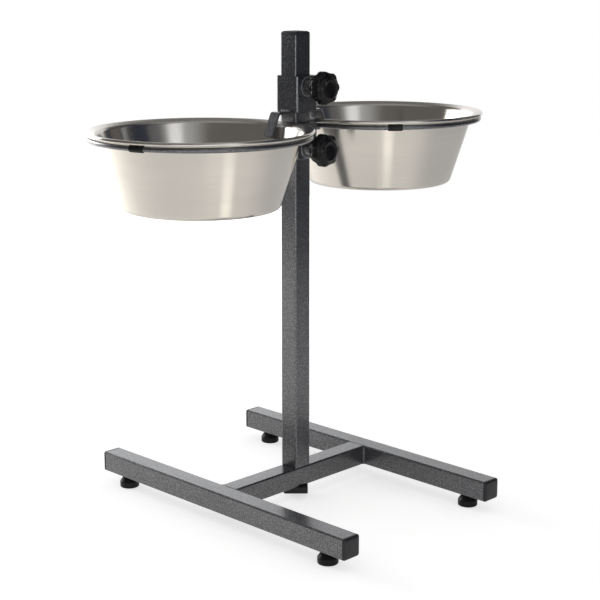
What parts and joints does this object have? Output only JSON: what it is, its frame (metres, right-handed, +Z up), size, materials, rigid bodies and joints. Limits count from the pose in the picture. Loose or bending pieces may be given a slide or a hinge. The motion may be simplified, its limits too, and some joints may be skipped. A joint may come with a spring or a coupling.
{
  "type": "dog feeder stand",
  "caption": "Raised dog feeder stand: square-tube base and post, a height-adjustable carrier with rings for steel bowls, and a clamped lock with tabs that keep the bowls in place.",
  "frame": {"origin": "On the floor, under the axis of the post.", "axes": "+X runs from the left bowl to the right bowl, +Y runs away from the clamp knobs along the rails, +Z is up."},
  "size_m": [0.556, 0.422, 0.573],
  "materials": {
    "frame_paint": "dark grey hammered enamel, semi-gloss",
    "bowl_steel": "polished stainless sheet with fine turning marks",
    "cap_plastic": "moulded black plastic, satin",
    "knob_plastic": "moulded black plastic, fine grain",
    "pad_plastic": "moulded black plastic, satin",
    "foot_rubber": "matt black rubber",
    "ring_rubber": "matt black rubber",
    "zinc_steel": "zinc-plated steel",
    "black_steel": "blackened steel"
  },
  "bodies": {
    "base": {"left_rail": "frame_paint", "right_rail": "frame_paint", "crossbar": "frame_paint", "frame_welds": "frame_paint", "left_rail_front_cap": "cap_plastic", "left_rail_back_cap": "cap_plastic", "right_rail_front_cap": "cap_plastic", "right_rail_back_cap": "cap_plastic", "left_front_foot": "foot_rubber", "left_back_foot": "foot_rubber", "right_front_foot": "foot_rubber", "right_back_foot": "foot_rubber", "foot_screws": "zinc_steel", "post": "frame_paint", "post_cap": "cap_plastic", "post_nut_plate": "zinc_steel", "post_bolt": "black_steel", "post_pad": "pad_plastic"},
    "carrier": {"carrier_sleeve": "frame_paint", "carrier_boss": "frame_paint", "left_ring_arm": "frame_paint", "right_ring_arm": "frame_paint", "carrier_welds": "frame_paint", "left_ring": "frame_paint", "right_ring": "frame_paint", "left_ring_pads": "ring_rubber", "right_ring_pads": "ring_rubber"},
    "carrier_screw": {"carrier_screw": "zinc_steel"},
    "carrier_knob": {"carrier_knob": "knob_plastic"},
    "lock": {"lock_sleeve": "frame_paint", "lock_boss": "frame_paint", "left_lock_tab": "frame_paint", "right_lock_tab": "frame_paint", "lock_welds": "frame_paint"},
    "lock_screw": {"lock_screw": "zinc_steel"},
    "lock_knob": {"lock_knob": "knob_plastic"},
    "left_bowl": {"left_bowl": "bowl_steel"},
    "right_bowl": {"right_bowl": "bowl_steel"}
  },
  "joints": [
    {"name": "carrier_slide", "type": "slide", "parent": "base", "child": "carrier", "axis": [0, 0, 1], "range_m": [-0.335, 0.045]},
    {"name": "lock_slide", "type": "slide", "parent": "carrier", "child": "lock", "axis": [0, 0, 1], "range_m": [0, 0.1]},
    {"name": "carrier_screw_travel", "type": "slide", "parent": "carrier", "child": "carrier_screw", "axis": [0, -1, 0], "range_m": [0, 0.00187]},
    {"name": "carrier_knob_turn", "type": "hinge", "parent": "carrier_screw", "child": "carrier_knob", "pos_m": [0, -0.045, 0.4375], "axis": [0, -1, 0], "range_deg": [0, 540]},
    {"name": "lock_screw_travel", "type": "slide", "parent": "lock", "child": "lock_screw", "axis": [0, -1, 0], "range_m": [0, 0.00187]},
    {"name": "lock_knob_turn", "type": "hinge", "parent": "lock_screw", "child": "lock_knob", "pos_m": [0, -0.045, 0.5093], "axis": [0, -1, 0], "range_deg": [0, 540]},
    {"name": "left_bowl_lift", "type": "slide", "parent": "carrier", "child": "left_bowl", "axis": [0, 0, 1], "range_m": [0, 0.007]},
    {"name": "right_bowl_lift", "type": "slide", "parent": "carrier", "child": "right_bowl", "axis": [0, 0, 1], "range_m": [0, 0.007]}
  ],
  "couplings": [
    {"joint": "carrier_screw_travel", "follows": "carrier_knob_turn", "m_per_rad": 0.00019894},
    {"joint": "lock_screw_travel", "follows": "lock_knob_turn", "m_per_rad": 0.00019894}
  ]
}
